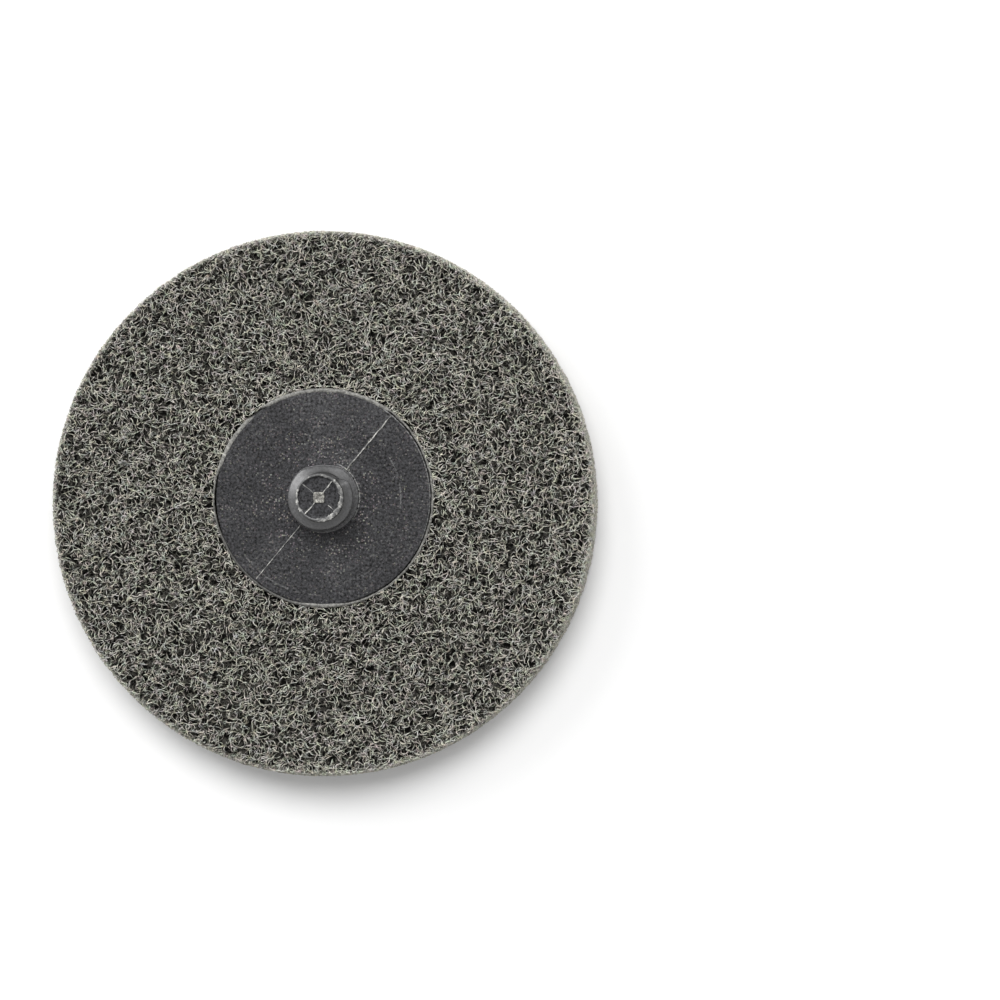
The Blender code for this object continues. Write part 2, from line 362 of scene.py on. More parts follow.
@dataclass
class SharedEffects:
    """The effects that several of the disc's materials use, each built once."""

    grit: EffectGroup = field(init=False)
    dust: EffectGroup = field(init=False)
    speckle: EffectGroup = field(init=False)
    scratches: EffectGroup = field(init=False)

    def __post_init__(self) -> None:
        """Build each group once."""
        self.scratches = self._scratches()
        self.grit = self._grit()
        self.dust = self._dust()
        self.speckle = self._speckle()

    @staticmethod
    def _grit() -> EffectGroup:
        """Grains of abrasive in their resin: a tone and a height for each grain."""
        group = EffectGroup(
            "abrasive_grit", {"Grains": 8000.0, "Contrast": 0.3}, {"Tone": FLOAT, "Height": FLOAT}
        )
        desk, given = group.desk, group.source.outputs
        grains, parts = desk.cells(given["Position"], given["Grains"])
        swing = desk.times(desk.minus(parts["Red"], 0.5), given["Contrast"])
        height = desk.spread(grains["Distance"], 0.0, 0.7, 1.0, 0.0)
        desk.feed(group.result, {"Tone": desk.plus(swing, 1.0), "Height": height})
        return group

    @staticmethod
    def _dust() -> EffectGroup:
        """A thin film of sanding dust: where it lies, in clouds broken by finer ones."""
        group = EffectGroup("dust_film", {"Clouds": 120.0, "Cover": 0.5, "Softness": 0.15}, {"Mask": FLOAT})
        desk, given = group.desk, group.source.outputs
        wide = desk.cloud(given["Position"], given["Clouds"], 5.0, 0.65)
        lifted = desk.minus(wide, desk.minus(1.0, given["Cover"]))
        mask = desk.sum(Operation.DIVIDE, lifted, given["Softness"], clamp=True)
        desk.feed(group.result, {"Mask": mask})
        return group

    @staticmethod
    def _scratches() -> EffectGroup:
        """Fine handling scratches that run one way."""
        group = EffectGroup("fine_scratches", {"Turn": (0.0, 0.0, 0.0), "Level": 0.7}, {"Mask": FLOAT})
        desk, given = group.desk, group.source.outputs
        size = (220.0, 6500.0, 220.0)
        lengthened = {"Vector": given["Position"], "Rotation": given["Turn"], "Scale": size}
        turned = desk.add("ShaderNodeMapping", lengthened).outputs[0]
        lifted = desk.minus(desk.cloud(turned, 1.0, 2.0, 0.6), given["Level"])
        desk.feed(group.result, {"Mask": desk.times(lifted, 14.0, clamp=True)})
        return group

    @staticmethod
    def _speckle() -> EffectGroup:
        """Small bright flecks, each with its own strength and a faint tint."""
        group = EffectGroup(
            "fleck_scatter", {"Flecks": 5000.0, "Share": 0.1, "Reach": 0.4}, {"Mask": FLOAT, "Tint": COLOUR}
        )
        desk, given = group.desk, group.source.outputs
        flecks, parts = desk.cells(given["Position"], given["Flecks"])
        chosen = desk.sum(Operation.GREATER, parts["Red"], desk.minus(1.0, given["Share"]))
        near = desk.sum(Operation.LESS, flecks["Distance"], given["Reach"])
        strength = desk.spread(parts["Green"], 0.0, 1.0, 0.25, 1.0)
        tint = desk.blend(0.25, (0.62, 0.62, 0.64, 1.0), flecks["Color"])
        desk.feed(group.result, {"Mask": desk.times(desk.times(chosen, near), strength), "Tint": tint})
        return group


def new_material(name: str) -> tuple[Material, NodeDesk, Node]:
    """A material with one Principled BSDF.

    Args:
        name: its name.

    Returns:
        The material, its desk and the shader.
    """
    material = bpy.data.materials.new(name)
    material.use_nodes = True
    return material, NodeDesk(material.node_tree), material.node_tree.nodes["Principled BSDF"]


def object_position(desk: NodeDesk, middle: Vector | None = None) -> Socket:
    """Object coordinates, counted from a point.

    Args:
        desk: the material's desk.
        middle: the point, or None for the frame's own origin.

    Returns:
        The coordinates' output.
    """
    place = desk.add("ShaderNodeTexCoord").outputs["Object"]
    if middle is None:
        return place
    return desk.add("ShaderNodeMapping", {"Vector": place, "Location": -middle}).outputs[0]


@dataclass(frozen=True)
class StrandFinish:
    """Curly nylon strands in their coat of resin and fine abrasive grain."""

    name: str
    dark: Colour
    mid: Colour
    pale: Colour
    roughness: float = 0.62
    roughness_swing: float = 0.16

    def build(self, effects: SharedEffects) -> Material:
        """Make the material.

        Args:
            effects: the shared node groups.

        Returns:
            The material, which reads each strand's own shade from its mesh.
        """
        material, desk, shader = new_material(self.name)
        place = object_position(desk)
        shade = desk.add("ShaderNodeAttribute", attribute_name=SHADE_LAYER).outputs["Fac"]
        along = desk.patches(place, 4600.0, -0.5, 0.5, 2.0, 0.7)
        clumps = desk.patches(place, 90.0, -0.05, 0.05, 3.0)
        tone = desk.plus(desk.plus(shade, along), clumps, clamp=True)
        lower = desk.blend(desk.spread(tone, 0.0, 0.5), self.dark, self.mid)
        coat = desk.blend(desk.spread(tone, 0.5, 1.0), lower, self.pale)
        grit = effects.grit.place(desk, place, grains=5600.0, contrast=0.8)
        tinted = desk.blend(0.22, coat, desk.hues(place, 1500.0), "OVERLAY")
        low, high = self.roughness - self.roughness_swing, self.roughness + self.roughness_swing
        looks = {
            "Base Color": desk.vector(VectorWork.SCALE, tinted, grit["Tone"]),
            "Roughness": desk.patches(place, 700.0, low, high),
            "Specular IOR Level": 0.18,
        }
        desk.feed(shader, looks)
        desk.bump(shader, grit["Height"], 0.02 * MM, 0.5)
        return material


@dataclass(frozen=True)
class DeepWebShadeFinish:
    """The inside of the web, seen between the strands: dark pores and dim strands, painted dark as the shade
    deep in the web.
    """

    name: str
    pore_shade: Colour
    strand: Colour
    strands_per_metre: float = 1500.0
    bend: float = 1.6 * MM

    def build(self, effects: SharedEffects) -> Material:
        """Make the material.

        Args:
            effects: the shared node groups.

        Returns:
            The material.
        """
        material, desk, shader = new_material(self.name)
        place = object_position(desk)
        push = desk.vector(VectorWork.SCALE, desk.hues(place, 500.0), self.bend)
        bent = desk.vector(VectorWork.ADD, place, push)
        net = 0.0
        for share in (1.0, 1.6):
            inputs = {"Vector": bent, "Scale": self.strands_per_metre * share}
            edges = desk.add("ShaderNodeTexVoronoi", inputs, feature="DISTANCE_TO_EDGE").outputs["Distance"]
            net = desk.plus(net, desk.spread(edges, 0.03, 0.16, 1.0, 0.0), clamp=True)
        grit = effects.grit.place(desk, place, grains=8000.0, contrast=0.4)
        lit = desk.times(net, desk.spread(desk.cloud(place, 1100.0), 0.42, 0.58))
        toned = desk.times(lit, grit["Tone"], clamp=True)
        looks = {
            "Base Color": desk.blend(toned, self.pore_shade, self.strand),
            "Roughness": desk.spread(toned, 0.0, 1.0, 0.95, 0.75),
            "Specular IOR Level": 0.05,
        }
        desk.feed(shader, looks)
        desk.bump(shader, net, 0.15 * MM, 0.8)
        return material


@dataclass(frozen=True)
class WearAndHighlightRing:
    """A pale ring round the moulding's axis, strongest on one side. A broken ring is rubbed wear; an
    unbroken one is a painted highlight along a rounded edge.
    """

    radius: float
    half_width: float
    towards: float
    fades_at: float
    strength: float
    broken: bool = True

    def mask(self, desk: NodeDesk, place: Socket, away: Socket, gaps: Socket) -> Socket:
        """Where the ring shows.

        Args:
            desk: the material's desk.
            place: coordinates that are counted from the axis.
            away: the distance from the axis.
            gaps: the mask that breaks a ring up.

        Returns:
            The mask.
        """
        off = desk.sum(Operation.ABSOLUTE, desk.minus(away, self.radius))
        line = desk.spread(off, self.half_width * 0.25, self.half_width, self.strength, 0.0)
        pointer = (math.cos(self.towards), math.sin(self.towards), 0.0)
        side = desk.vector(VectorWork.DOT, place, pointer)
        near = desk.spread(side, self.radius * self.fades_at, self.radius * (self.fades_at + 1.0) / 2)
        shown = desk.times(line, near)
        return desk.times(shown, gaps) if self.broken else shown


@dataclass(frozen=True)
class NylonFinish:
    """Dark moulded nylon: a fine satin grain, flecks and a film of dust, all fainter on the stud."""

    name: str
    seat: float
    tip: float
    dish_radius: float
    rings: tuple[WearAndHighlightRing, ...]
    base: Colour
    stud: Colour
    dusty: Colour
    rubbed: Colour
    # Colour of the painted shade in the valley between the core and the thread.
    valley_shade: Colour
    fleck_share: float
    roughness: float
    scratches: tuple[Point, ...] = ((0.7, 0.69), (-0.35, 0.72), (2.2, 0.72))
    scratch_strength: float = 0.16

    def build(self, effects: SharedEffects, middle: Vector) -> Material:
        """Make the material.

        Args:
            effects: the shared node groups.
            middle: a point on the moulding's axis.

        Returns:
            The material.
        """
        material, desk, shader = new_material(self.name)
        place = object_position(desk, middle)
        height = desk.add("ShaderNodeSeparateXYZ", {"Vector": place}).outputs["Z"]
        away = desk.vector(VectorWork.LENGTH, desk.vector(VectorWork.MULTIPLY, place, (1.0, 1.0, 0.0)))
        low = desk.spread(height, self.seat + 0.1 * MM, self.seat + 0.5 * MM, 1.0, 0.0)
        flat = desk.plus(low, desk.sum(Operation.LESS, away, self.dish_radius), clamp=True)
        dust = effects.dust.place(desk, place, clouds=110.0, cover=0.52, softness=0.3)["Mask"]
        fine = effects.dust.place(desk, place, clouds=2400.0, cover=0.62, softness=0.35)["Mask"]
        film = desk.times(desk.times(desk.times(dust, fine), 0.55), low)
        # Painted shade: the core is darkened in the valley between the tip and the thread.
        valley_shaded = desk.times(self._valley_shade_mask(desk, place, height, away), 0.9)
        body = desk.blend(flat, desk.blend(valley_shaded, self.stud, self.valley_shade), self.base)
        coated = desk.blend(film, body, self.dusty)
        # Wear rings and scratches, and painted highlights on the collar's and the flange's edges.
        worn_and_lit = desk.times(self._wear_and_highlights(desk, effects, place, away), low)
        scraped_and_lit = desk.blend(worn_and_lit, coated, self.rubbed)
        grain = desk.cloud(place, 2800.0, 3.0, 0.75)
        swing = desk.times(desk.spread(grain, 0.36, 0.68, -0.95, 2.0), desk.spread(flat, 0.0, 1.0, 0.5, 1.0))
        broad = desk.patches(place, 260.0, -0.22, 0.22, 3.0, 0.6)
        tone = desk.plus(desk.plus(1.0, swing), broad)
        mottled = desk.vector(VectorWork.SCALE, scraped_and_lit, tone)
        flecks = effects.speckle.place(desk, place, flecks=4400.0, share=self.fleck_share, reach=0.5)
        gather = effects.dust.place(desk, place, clouds=300.0, cover=0.62, softness=0.4)["Mask"]
        near = desk.times(desk.spread(away, 6.0 * MM, 12.0 * MM, 1.0, 0.4), low)
        shown = desk.times(desk.times(gather, near), flecks["Mask"])
        polish = desk.patches(place, 420.0, -0.1, 0.12, 4.0)
        dull = desk.spread(flat, 0.0, 1.0, self.roughness - 0.16, self.roughness)
        looks = {
            "Base Color": desk.blend(shown, mottled, flecks["Tint"]),
            "Roughness": desk.plus(polish, dull),
            "Specular IOR Level": 0.14,
            "Coat Weight": desk.spread(flat, 0.0, 1.0, 0.9, 0.0),
            "Coat Roughness": 0.36,
            "Coat IOR": 1.7,
        }
        desk.feed(shader, looks)
        desk.bump(shader, desk.times(grain, desk.spread(flat, 0.0, 1.0, 0.25, 1.0)), 0.05 * MM, 0.8)
        return material

    def _valley_shade_mask(self, desk: NodeDesk, place: Socket, height: Socket, away: Socket) -> Socket:
        """The painted shade on the core between the tip and the thread, which fades out towards low X.

        Args:
            desk: the material's desk.
            place: coordinates that are counted from the axis.
            height: their height.
            away: the distance from the axis.

        Returns:
            Where it is, as a mask.
        """
        core = desk.spread(away, 3.5 * MM, 4.15 * MM, 1.0, 0.0)
        below_tip = desk.spread(height, self.tip - 2.0 * MM, self.tip - 0.7 * MM, 1.0, 0.0)
        side = desk.vector(VectorWork.DOT, place, (1.0, -0.17, 0.0))
        return desk.times(desk.times(core, below_tip), desk.spread(side, -3.2 * MM, -0.9 * MM))

    def _wear_and_highlights(self, desk: NodeDesk, effects: SharedEffects, place: Socket, away: Socket) -> Socket:
        """Faint broken wear rings and scratches on the flange, and painted highlights along the collar's and
        the flange's rounded edges.

        Args:
            desk: the material's desk.
            effects: the shared node groups.
            place: coordinates that are counted from the axis.
            away: the distance from the axis.

        Returns:
            Where they are, as a mask.
        """
        gaps = desk.spread(desk.cloud(place, 600.0, 3.0, 0.6), 0.4, 0.55)
        total = 0.0
        for ring in self.rings:
            total = desk.plus(total, ring.mask(desk, place, away, gaps))
        for angle, level in self.scratches:
            streaks = effects.scratches.place(desk, place, turn=(0.0, 0.0, angle), level=level)["Mask"]
            total = desk.plus(total, desk.times(streaks, self.scratch_strength), clamp=True)
        return total


@dataclass(frozen=True)
class WhitenedFinish:
    """Nylon that is stressed pale where the mould's halves met and where the gate was twisted off."""

    name: str
    pale: Colour
    dark: Colour
    cover: float
    clouds_per_metre: float = 1300.0
    hollow_shade_level: float = -1.0
    hollow_shade_rise: float = 0.12 * MM

    def build(self, effects: SharedEffects) -> Material:
        """Make the material, with painted shade that dims it below hollow_shade_level.

        Args:
            effects: the shared node groups.

        Returns:
            The material.
        """
        material, desk, shader = new_material(self.name)
        place = object_position(desk)
        clouds = effects.dust.place(
            desk, place, clouds=self.clouds_per_metre, cover=self.cover, softness=0.16
        )
        grit = effects.grit.place(desk, place, grains=7000.0, contrast=0.5)
        height = desk.add("ShaderNodeSeparateXYZ", {"Vector": place}).outputs["Z"]
        # Painted shade: the stub's hollow and its foot are dimmed by their height.
        raised = desk.spread(height, self.hollow_shade_level, self.hollow_shade_level + self.hollow_shade_rise, 0.38, 1.0)
        toned = desk.times(desk.times(clouds["Mask"], grit["Tone"], clamp=True), raised)
        looks = {
            "Base Color": desk.blend(toned, self.dark, self.pale),
            "Roughness": desk.spread(toned, 0.0, 1.0, 0.45, 0.7),
        }
        desk.feed(shader, looks)
        desk.bump(shader, grit["Height"], 0.02 * MM, 0.6)
        return material


@dataclass(frozen=True)
class AdhesiveFinish:
    """Cured adhesive: smooth and grey, with dust stuck in it and paler thin places."""

    name: str
    base: Colour
    pale: Colour

    def build(self, effects: SharedEffects) -> Material:
        """Make the material.

        Args:
            effects: the shared node groups.

        Returns:
            The material, which reads how pale the bead is from its mesh.
        """
        material, desk, shader = new_material(self.name)
        place = object_position(desk)
        thin = effects.dust.place(desk, place, clouds=1500.0, cover=0.56, softness=0.2)["Mask"]
        grit = effects.grit.place(desk, place, grains=4200.0, contrast=1.0)
        paleness = desk.add("ShaderNodeAttribute", attribute_name=BEAD_LAYER).outputs["Fac"]
        patchy = desk.times(desk.spread(thin, 0.0, 1.0, 0.45, 1.0), paleness)
        tone = desk.blend(patchy, self.base, self.pale)
        looks = {
            "Base Color": desk.vector(VectorWork.SCALE, tone, grit["Tone"]),
            "Roughness": desk.spread(thin, 0.0, 1.0, 0.36, 0.6),
            "Coat Roughness": 0.3,
        }
        desk.feed(shader, looks)
        desk.bump(shader, desk.cloud(place, 1500.0, 3.0), 0.05 * MM)
        return material


def add_object(name: str, data: bpy.types.ID) -> bpy.types.Object:
    """Put a new object in the scene, at the origin."""
    item = bpy.data.objects.new(name, data)
    bpy.context.scene.collection.objects.link(item)
    return item


def polar(place: Vector) -> Point:
    """A point's distance from the Z axis and its angle round it."""
    return math.hypot(place.x, place.y), math.atan2(place.y, place.x)


def set_polar(place: Vector, away: float, angle: float) -> None:
    """Move a point, at its own height, to a distance from the Z axis and an angle round it."""
    place.x = away * math.cos(angle)
    place.y = away * math.sin(angle)


def oval_section(middle: float, half_width: float, half_height: float, steps: int) -> list[Point]:
    """A closed oval section that stands off the axis.

    Args:
        middle: the distance of its middle from the axis.
        half_width: half its width.
        half_height: half its height, about the height 0.
        steps: how many points it has.

    Returns:
        The points.
    """
    angles = [math.tau * index / steps for index in range(steps)]
    return [(middle + half_width * math.cos(angle), half_height * math.sin(angle)) for angle in angles]


def show(name: str, mesh: Mesh, material: Material) -> bpy.types.Object:
    """Put a finished mesh in the scene as a piece of the disc.

    Args:
        name: the piece's name.
        mesh: its mesh, in the frame's own place.
        material: its material.

    Returns:
        The object, riding on the disc's body.
    """
    item = add_object(name, mesh)
    mesh.materials.append(material)
    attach(item, BODY)
    LOG.info("%s: %d faces", name, len(mesh.polygons))
    return item


def mesh_from(shape: Shape, name: str, crisp_degrees: float, place: Vector | None = None) -> Mesh:
    """Turn a finished bmesh into a smooth shaded mesh, and free it.

    Args:
        shape: the bmesh.
        name: the mesh's name.
        crisp_degrees: folds over this angle stay crisp.
        place: where the shape's own origin goes, or None to leave it.

    Returns:
        The mesh.
    """
    if place is not None:
        bmesh.ops.translate(shape, vec=place, verts=shape.verts)
    mesh = bpy.data.meshes.new(name)
    shape.to_mesh(mesh)
    shape.free()
    mesh.shade_smooth()
    mesh.set_sharp_from_angle(angle=math.radians(crisp_degrees))
    return mesh


def turned_shape(points: list[Point], steps: int) -> Shape:
    """Spin a half section about the Z axis.

    Args:
        points: the section, from the axis over the top, round and back, or a closed loop off the axis.
        steps: how many steps a full turn has.

    Returns:
        The bmesh, with its seam and poles closed and its faces pointing out.
    """
    shape = bmesh.new()
    corners = [shape.verts.new((x, 0.0, z)) for x, z in points]
    for first, second in zip(corners, corners[1:]):
        shape.edges.new((first, second))
    if points[0][0] > 0.0:
        shape.edges.new((corners[-1], corners[0]))
    bmesh.ops.spin(
        shape,
        geom=shape.verts[:] + shape.edges[:],
        cent=(0.0, 0.0, 0.0),
        axis=(0.0, 0.0, 1.0),
        angle=math.tau,
        steps=steps,
        use_merge=True,
    )
    bmesh.ops.remove_doubles(shape, verts=shape.verts, dist=0.0001 * MM)
    bmesh.ops.recalc_face_normals(shape, faces=shape.faces)
    return shape


@dataclass
class PadSizes:
    """The pad's sizes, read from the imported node."""

    radius: float = field(init=False)
    back: float = field(init=False)
    edge: float = 0.8 * MM
    nominal_radius: float = 38.0 * MM
    nominal_back: float = 6.35 * MM

    def __post_init__(self) -> None:
        """Read the node's box, whose clumps stand a little proud of the pad's own face."""
        low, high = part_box("abrasive_pad")
        self.radius = min(self.nominal_radius, (high.x - low.x) / 2)
        self.back = min(self.nominal_back, high.z)


@dataclass
class HubSizes:
    """The moulding's place and levels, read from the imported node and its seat."""

    middle: Vector = field(init=False)
    flange_radius: float = field(init=False)
    flange_bottom: float = field(init=False)
    seat: float = field(init=False)
    tip: float = field(init=False)

    def __post_init__(self) -> None:
        """Read the node's box and the level of the holder's seat."""
        low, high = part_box("hub_button")
        seats = {mount["name"]: mount["pos_m"] for mount in frame["record"]["mounts"]}
        self.middle = Vector(((low.x + high.x) / 2, (low.y + high.y) / 2, 0.0))
        self.flange_radius = (high.x - low.x) / 2
        self.flange_bottom = low.z
        self.seat = seats["holder_seat"][2]
        self.tip = high.z


@dataclass
class StrandLayer:
    """Curly strands scattered over one face of the pad, at one depth in the web."""

    name: str
    face: PadFace
    count: int
    seed: int
    shallow: float
    deep: float
    pad: PadSizes
    hub: HubSizes
    points: int = 10
    step: float = 0.4 * MM
    thin: float = 0.042 * MM
    thick: float = 0.072 * MM
    shade_middle: float = 1.15
    shade_spread: float = 0.13
    stray_share: float = 0.012
    stray_shade: float = 1.35
    patch_spread: float = 0.24
    tight_curl: float = 0.38 * MM
    loose_curl: float = 1.7 * MM
    turn_share: float = 0.36
    kink: float = 0.55
    swing: float = 0.46 * MM
    # Painted shade: how much darker a point is painted for each metre of depth in the web.
    painted_depth_shade: float = 1.28 / MM
    hub_clearance: float = 0.24 * MM

    def build(self, material: Material) -> bpy.types.Object:
        """Make the layer's strands.

        Args:
            material: their finish.

        Returns:
            The piece.
        """
        rng = np.random.default_rng(self.seed)
        places, depths = self._lay(rng)
        radii = rng.uniform(self.thin, self.thick, self.count)
        shades = rng.normal(self.shade_middle, self.shade_spread, self.count)
        shades[rng.random(self.count) < self.stray_share] = self.stray_shade
        patches = rng.normal(0.0, self.patch_spread, (self.count, self.points))
        # Painted shade: points deeper in the web are darker, standing in for the shade of the strands above
        # them.
        shades = shades[:, None] + patches - self.painted_depth_shade * depths + self._paleness(places)
        return show(self.name, self._tubes(places, radii, shades), material)

    def _paleness(self, places: np.ndarray) -> np.ndarray:
        """How much paler the web is where adhesive has soaked in and where the rim was stamped and rubbed.

        Args:
            places: the points of every strand.

        Returns:
            What is added to the shade of every point.
        """
        x, y = places[..., 0], places[..., 1]
        edge = np.clip((np.hypot(x, y) - self.pad.radius + 5.5 * MM) / (5.0 * MM), 0.0, 1.0)
        rubbed = edge**2 * (0.11 + 0.12 * np.cos(np.arctan2(y, x) + 0.5))
        if self.face is not PadFace.BACK:
            return rubbed
        x, y = x - self.hub.middle.x, y - self.hub.middle.y
        beyond = np.hypot(x, y) - self.hub.flange_radius - self.hub_clearance
        soaked = np.clip(1.0 - beyond / (1.4 * MM), 0.0, 1.0)
        return rubbed + soaked * (0.26 + 0.1 * np.cos(np.arctan2(y, x) - 1.9))

    def _start(self, rng: np.random.Generator) -> tuple[np.ndarray, np.ndarray]:
        """Scatter the strands' middles evenly.

        Args:
            rng: the layer's random numbers.

        Returns:
            Their two coordinates on the face: across and up, or round and up for the side.
        """
        order = np.arange(self.count)
        first = (rng.random() + 0.7548776662 * order) % 1.0
        second = (rng.random() + 0.5698402910 * order) % 1.0
        if self.face is PadFace.SIDE:
            return first * math.tau * self.pad.radius, second * self.pad.back
        inner = self.hub.flange_radius + self.hub_clearance if self.face is PadFace.BACK else 0.0
        outer = self.pad.radius - 0.1 * MM
        away = np.sqrt(inner**2 + first * (outer**2 - inner**2))
        share = (outer - away) / (outer - inner) if self.face is PadFace.BACK else 0.0
        angle = second * math.tau
        across = away * np.cos(angle) + self.hub.middle.x * share
        return across, away * np.sin(angle) + self.hub.middle.y * share

    def _lay(self, rng: np.random.Generator) -> tuple[np.ndarray, np.ndarray]:
        """Walk each strand over the face in arcs that now and then turn the other way.

        Args:
            rng: the layer's random numbers.

        Returns:
            The points of every strand, as count by points by three, and their depths.
        """
        across, up = self._start(rng)
        heading = rng.uniform(0.0, math.tau, self.count)
        turn = rng.choice([-1.0, 1.0], self.count)
        curl = turn / rng.uniform(self.tight_curl, self.loose_curl, self.count)
        level = rng.uniform(self.shallow, self.deep, self.count)
        phase = rng.uniform(0.0, math.tau, self.count)
        pace = rng.uniform(0.9, 2.0, self.count)
        swing = self.swing * rng.uniform(0.4, 1.3, self.count)
        half = (self.points - 1) / 2
        drawn_back = 0.6
        across = across - half * self.step * np.cos(heading) * drawn_back
        up = up - half * self.step * np.sin(heading) * drawn_back
        rows = []
        depths = []
        for index in range(self.points):
            depth = np.abs(level + swing * np.sin(phase + pace * index))
            rows.append(self._wrap(across, up, depth))
            depths.append(depth)
            flips = rng.random(self.count) < self.turn_share
            fresh = -np.sign(curl) / rng.uniform(self.tight_curl, self.loose_curl, self.count)
            curl = np.where(flips, fresh, curl)
            heading = heading + curl * self.step + rng.normal(0.0, self.kink, self.count)
            across = across + self.step * np.cos(heading)
            up = up + self.step * np.sin(heading)
        return np.stack(rows, axis=1), np.stack(depths, axis=1)

    def _wrap(self, across: np.ndarray, up: np.ndarray, depth: np.ndarray) -> np.ndarray:
        """Put points of the face in their place on the pad.

        Args:
            across: the first coordinate on the face.
            up: the second.
            depth: how far under the face each point lies.

        Returns:
            The points in space.
        """
        radius, edge, back = self.pad.radius, self.pad.edge, self.pad.back
        if self.face is PadFace.SIDE:
            reach = back - 0.24 * MM
            level = 0.12 * MM + reach - np.abs(np.mod(up - 0.12 * MM, 2 * reach) - reach)
            near_end = np.maximum(edge - np.minimum(level, back - level), 0.0)
            inset = edge - np.sqrt(np.maximum(edge**2 - near_end**2, 0.0))
            distance = radius - depth - inset
            angle = across / radius
            return np.stack((distance * np.cos(angle), distance * np.sin(angle), level), axis=1)
        if self.face is PadFace.BACK:
            middle_x, middle_y = self.hub.middle.x, self.hub.middle.y
            off_x, off_y = across - middle_x, up - middle_y
            away = np.maximum(np.hypot(off_x, off_y), 1e-9)
            clear = self.hub.flange_radius + self.hub_clearance
            off = np.abs(away - clear)
            depth = depth * (0.4 + 0.6 * np.clip(off / (0.9 * MM), 0.0, 1.0))
            pushed = (clear + off) / away
            across, up = middle_x + off_x * pushed, middle_y + off_y * pushed
        away = np.maximum(np.hypot(across, up), 1e-9)
        limit = radius - 0.12 * MM
        kept = limit - np.abs(away - limit)
        across, up = across * kept / away, up * kept / away
        over = np.maximum(kept - (radius - edge), 0.0)
        drop = edge - np.sqrt(np.maximum(edge**2 - over**2, 0.0))
        height = back - depth - drop if self.face is PadFace.BACK else depth + drop + self.thick
        return np.stack((across, up, height), axis=1)

    def _tubes(self, places: np.ndarray, radii: np.ndarray, shades: np.ndarray) -> Mesh:
        """Give the strands their thickness: three-sided tubes with pointed ends.

        Args:
            places: the points of every strand.
            radii: every strand's radius.
            shades: the shade of every point, from dark to pale.

        Returns:
            One mesh, with each strand's shade and its own place on the UV map.
        """
        curve = bpy.data.curves.new(self.name, "CURVE")
        curve.dimensions = "3D"
        curve.bevel_mode = "OBJECT"
        curve.bevel_object = strand_section()
        thickness = np.ones(self.points)
        thickness[[0, -1]] = 0.0
        for place, radius in zip(places, radii):
            strand = curve.splines.new("POLY")
            strand.points.add(self.points - 1)
            line = np.ones((self.points, 4))
            line[:, :3] = place
            strand.points.foreach_set("co", line.ravel())
            strand.points.foreach_set("radius", thickness * radius)
        guide = add_object(self.name + "_lines", curve)
        mesh = bpy.data.meshes.new_from_object(guide.evaluated_get(bpy.context.evaluated_depsgraph_get()))
        bpy.data.objects.remove(guide, do_unlink=True)
        mesh.name = self.name
        self._map(mesh, shades)
        shape = bmesh.new()
        shape.from_mesh(mesh)
        bmesh.ops.remove_doubles(shape, verts=shape.verts, dist=0.00005 * MM)
        shape.to_mesh(mesh)
        shape.free()
        mesh.shade_smooth()
        return mesh

    def _map(self, mesh: Mesh, shades: np.ndarray) -> None:
        """Write the points' shades, and lay each strand in a cell of its own on the UV map.

        Args:
            mesh: the tubes, in the order of the strands.
            shades: the shade of every point.
        """
        sides = 3
        layer = mesh.attributes.new(SHADE_LAYER, "FLOAT", "POINT")
        layer.data.foreach_set("value", np.repeat(shades.ravel(), sides).astype(np.float32))
        grid = math.ceil(math.sqrt(self.count))
        segments = self.points - 1
        strand = np.repeat(np.arange(self.count), segments * sides)
        ring = np.tile(np.repeat(np.arange(segments), sides), self.count)
        side = np.tile(np.arange(sides), self.count * segments)
        margin, span = 0.08, 0.84
        rings = np.stack((ring, ring + 1, ring + 1, ring), axis=1) / segments
        levels = np.stack((side + 1, side + 1, side, side), axis=1) / sides
        u = (strand % grid)[:, None] + margin + span * rings
        v = (strand // grid)[:, None] + margin + span * levels
        uv = mesh.uv_layers.active or mesh.uv_layers.new(name="UVMap")
        uv.data.foreach_set("uv", (np.stack((u, v), axis=2) / grid).astype(np.float32).ravel())


def strand_section() -> bpy.types.Object:
    """The three-sided section of a strand, one unit in radius.

    Returns:
        The section's curve object, which isn't shown.
    """
    found = bpy.data.objects.get("strand_section")
    if found is not None:
        return found
    curve = bpy.data.curves.new("strand_section", "CURVE")
    curve.dimensions = "2D"
    outline = curve.splines.new("POLY")
    outline.points.add(2)
    for index, point in enumerate(outline.points):
        angle = -math.tau * index / 3
        point.co = (math.cos(angle), math.sin(angle), 0.0, 1.0)
    outline.use_cyclic_u = True
    return bpy.data.objects.new("strand_section", curve)


